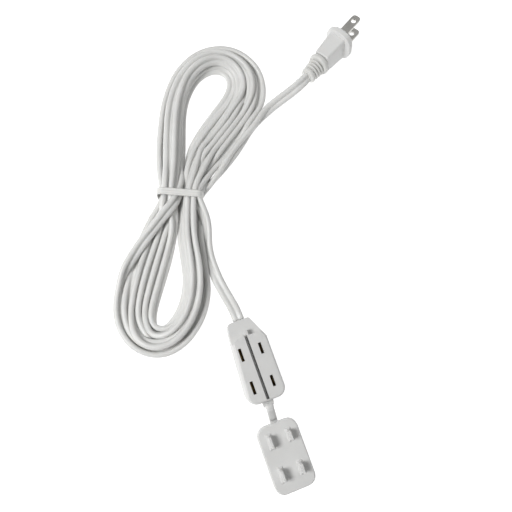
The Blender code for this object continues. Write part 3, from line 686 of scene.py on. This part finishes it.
def apply_modifiers(piece):
    """Replaces a piece's mesh with what its modifiers make of it."""
    bpy.context.view_layer.update()
    graph = bpy.context.evaluated_depsgraph_get()
    mesh = bpy.data.meshes.new_from_object(piece.evaluated_get(graph))
    piece.modifiers.clear()
    piece.data = mesh


def soften(piece, radius):
    """Rounds a piece's sharp edges, with radius in millimetres."""
    bm = bmesh.new()
    bm.from_mesh(piece.data)
    bmesh.ops.remove_doubles(bm, verts=bm.verts, dist=0.000005)
    bmesh.ops.dissolve_degenerate(bm, edges=bm.edges, dist=0.000005)
    bm.to_mesh(piece.data)
    bm.free()
    edge = piece.modifiers.new("edge", "BEVEL")
    edge.width = radius * MM
    edge.segments = 3
    edge.limit_method = "ANGLE"
    edge.angle_limit = math.radians(32.0)
    edge.use_clamp_overlap = True
    edge.harden_normals = False
    normals = piece.modifiers.new("normals", "WEIGHTED_NORMAL")
    normals.keep_sharp = False
    piece.data.shade_smooth()


def make_front_moulding():
    """Front shell: two raised pads either side of a deep groove, a lip beside it, and the lower neck."""
    top, neck_top, groove, lip, split = 22.0, 17.5, 0.95, 1.9, 11.15
    rib_top, groove_floor, groove_start, groove_end = 18.6, 17.3, -19.4, 20.95
    blade_x, outlet_y, slot_half, slot_floor = 6.35, 10.25, 1.0, 12.0
    insets = (
        (split, 0.25), (split + 0.25, 0.0), (18.6, 0.3), (20.6, 0.55), (21.4, 0.9), (21.85, 1.4), (top, 2.0),
    )
    rings = []
    for z, inset in insets:
        outline = rounded_outline(inset_corners(CORNERS, inset) if inset else CORNERS)
        rings.append([(x * MM, (y + BLOCK_Y / MM) * MM, z * MM) for x, y in outline])
    piece = mesh_from_rings("outlet_face_moulding", rings, HOUSING)
    wide = 20.0
    step = [
        (-wide, 12.2), (-4.6, 20.4), (groove, 20.6), (groove, 23.4), (lip, 23.4), (lip, 20.3),
        (9.2, 20.0), (wide, 13.5), (wide, 40.0), (-wide, 40.0),
    ]
    right = groove - 0.02
    cutters = [
        block_cutter(step, neck_top, top + 4),
        block_cutter(rectangle(-groove, groove_start, right, groove_end), rib_top, top + 4),
        block_cutter(rectangle(-groove, groove_start, -0.32, groove_end), groove_floor, 19.0),
        block_cutter(rectangle(0.30, groove_start, right, groove_end), groove_floor, 19.0),
    ]
    for y in (-outlet_y, outlet_y):
        for x, length in ((-blade_x, 8.0), (blade_x, 6.9)):
            slot = rectangle(x - slot_half, y - length / 2, x + slot_half, y + length / 2)
            ends = rounded_outline([(*corner, 0.4) for corner in slot], 4)
            cutters.append(block_cutter(ends, slot_floor, top + 4))
    gate_x, gate_y, gate_radius, gate_depth = -7.8, -1.2, 0.85, 0.16
    gate = []
    for k in range(20):
        angle = k * math.pi / 10
        gate.append((gate_x + gate_radius * math.cos(angle), gate_y + gate_radius * math.sin(angle)))
    cutters.append(block_cutter(gate, top - gate_depth, top + 4))
    inner = rounded_outline(inset_corners(CORNERS, 1.7), 4)
    cutters.append(block_cutter([p for p in inner if p[1] < 24.0], split - 1.0, 13.0))
    carve(piece, cutters)
    soften(piece, 0.28)
    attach(piece, ROOT)
    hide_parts("outlet_front_shell")


make_front_moulding()


# ---------------------------------------------------------------- strain relief

def make_strain_relief():
    """Oval boot: collar, three thin rings and an end ring, with soft edges and necks between."""
    collar, core, thin, last = 8.2, 4.5, 6.7, 5.8
    start = RELIEF_START / MM
    end = RELIEF_END / MM
    outline = [
        (0.0, start), (collar - 1.5, start), (collar - 0.5, start - 0.25), (collar, start - 0.9),
        (collar, start - 2.8), (collar - 0.25, start - 3.5), (collar - 0.9, start - 3.95),
        (core + 0.8, start - 4.1), (core, start - 4.3),
    ]
    for k in range(3):
        top = start - 4.95 - 2.3 * k
        r = thin - 0.26 * k
        outline += [
            (core, top), (r - 0.5, top - 0.04), (r - 0.1, top - 0.22), (r, top - 0.5), (r, top - 0.9),
            (r - 0.1, top - 1.18), (r - 0.5, top - 1.38), (core, top - 1.42), (core - 0.1, top - 1.8),
        ]
    outline += [
        (core - 0.1, end + 3.2), (last - 0.6, end + 3.15), (last - 0.1, end + 2.9), (last, end + 2.4),
        (last, end + 1.1), (last - 0.25, end + 0.45), (last - 1.0, end), (0.0, end),
    ]
    steps, flattening, smallest = 56, 0.93, 0.02
    rings = []
    for radius, z in outline:
        r = max(radius, smallest)
        ring = []
        for i in range(steps):
            angle = 2 * math.pi * i / steps
            ring.append(on_plug(flattening * r * math.cos(angle) * MM, r * math.sin(angle) * MM, z * MM))
        rings.append(ring)
    boot = mesh_from_rings("strain_relief_boot", rings, RELIEF)
    boot.data.set_sharp_from_angle(angle=math.radians(60))
    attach(boot, ROOT)
    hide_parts("plug_strain_relief")
    return boot


relief_boot = make_strain_relief()


# ---------------------------------------------------------------- band round the waist

def make_band():
    """Ribbed strip wrapped round the waist as a closed loop."""
    half, low, high, radius = BAND_HALF, 0.5, 15.9, 3.6
    line = []
    middle_z = (low + high) / 2
    for sx, sz, a0 in ((1, -1, -90), (1, 1, 0), (-1, 1, 90), (-1, -1, 180)):
        cx, cz = sx * (half - radius), middle_z + sz * ((high - low) / 2 - radius)
        for k in range(9):
            angle = math.radians(a0 + 90 * k / 8)
            line.append((cx + radius * math.cos(angle), cz + radius * math.sin(angle)))
    line = evenly(np.array([*line, line[0]]), 1.2)[:-1]
    width, thick = 4.6, 0.5
    ribs = [(-1.0, -1), (1.0, -1), (1.0, 0.3), (0.72, 1.0), (0.45, 0.35), (0.2, 0.35), (0.0, 1.0),
            (-0.2, 0.35), (-0.45, 0.35), (-0.72, 1.0), (-1.0, 0.3)]
    turn = Matrix.Rotation(WAIST_ANGLE, 3, "Z")
    rings = []
    count = len(line)
    for i in range(count):
        ahead = line[(i + 1) % count] - line[i - 1]
        ahead /= np.linalg.norm(ahead)
        out = np.array([ahead[1], -ahead[0]])
        ring = []
        for a, b in ribs:
            spot = line[i] + out * (thick * b)
            place = turn @ Vector((spot[0], width / 2 * a, spot[1]))
            ring.append(((place.x + WAIST_AT[0]) * MM, (place.y + WAIST_AT[1]) * MM, place.z * MM))
        rings.append(ring)
    rings.append(rings[0])
    band = mesh_from_rings("waist_band", rings, TIE, closed_ends=False)
    bm = bmesh.new()
    bm.from_mesh(band.data)
    bmesh.ops.remove_doubles(bm, verts=bm.verts, dist=0.000001)
    bm.to_mesh(band.data)
    bm.free()
    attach(band, ROOT)
    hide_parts("bundle_tie")
    return band


waist_band = make_band()


# ---------------------------------------------------------------- tether

def half_round(name, stations):
    """Skin with a flat underside and a round top, on (middle, half width, drop, rise) stations."""
    rings = []
    for i, (spot, half, drop, rise) in enumerate(stations):
        before, after = stations[max(i - 1, 0)][0], stations[min(i + 1, len(stations) - 1)][0]
        up = Vector((1, 0, 0)).cross((after - before).normalized())
        up = up if up.z > 0 else -up
        across = Vector((half, 0, 0))
        bottom = Vector((half * 0.92, 0, 0))
        ring = [spot - up * drop + bottom, spot - up * drop * 0.6 + across]
        for k in range(1, 12):
            angle = math.pi * k / 12
            ring.append(spot + Vector((half * math.cos(angle), 0, 0)) + up * rise * math.sin(angle) ** 0.8)
        ring += [spot - up * drop * 0.6 - across, spot - up * drop - bottom]
        rings.append([tuple(p) for p in ring])
    return mesh_from_rings(name, rings, COVER)


def make_tether():
    """Half-round strap from the boss to the cover, and the two thin webs that bend at its ends."""
    a, b = Vector((0, -0.0019, 0.012295)), Vector((0, -0.0110, 0.0045))
    along = (b - a).normalized()
    length = (b - a).length
    half, drop, rise = 0.0025, 0.0006, 0.0012
    slimmer = (half - 0.0001, drop * 0.9, rise * 0.95)
    places = (0.0007, 0.0030, length / 2, length - 0.0030, length - 0.0010)
    strap = half_round("tether_strap_moulding", [(a + along * t, half, drop, rise) for t in places])
    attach(strap, "tether")
    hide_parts("tether_strap")
    root = half_round("tether_root_web", [
        (Vector((0, 0.0006, 0.0108)), half + 0.0003, drop, rise * 0.7),
        (Vector((0, -0.0006, 0.0113)), half + 0.0003, drop, rise),
        (Vector((0, -0.0013, 0.0117)), half + 0.0002, drop, rise),
        (Vector((0, -0.0019, 0.01190)), half + 0.0001, drop, rise),
        (a + along * 0.0009, half, drop, rise),
        (a + along * 0.0016, *slimmer),
    ])
    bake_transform(root)
    tip = half_round("tether_tip_web", [
        (a + along * (length - 0.0018), *slimmer),
        (a + along * (length - 0.0010), half, drop, rise),
        (Vector((0, -0.0108, 0.00470)), half, drop, rise * 0.9),
        (Vector((0, -0.0117, 0.00430)), half, drop * 0.8, rise * 0.6),
        (Vector((0, -0.0130, 0.00415)), half + 0.0002, drop * 0.5, rise * 0.4),
    ])
    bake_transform(tip)


make_tether()
dress_nodes()
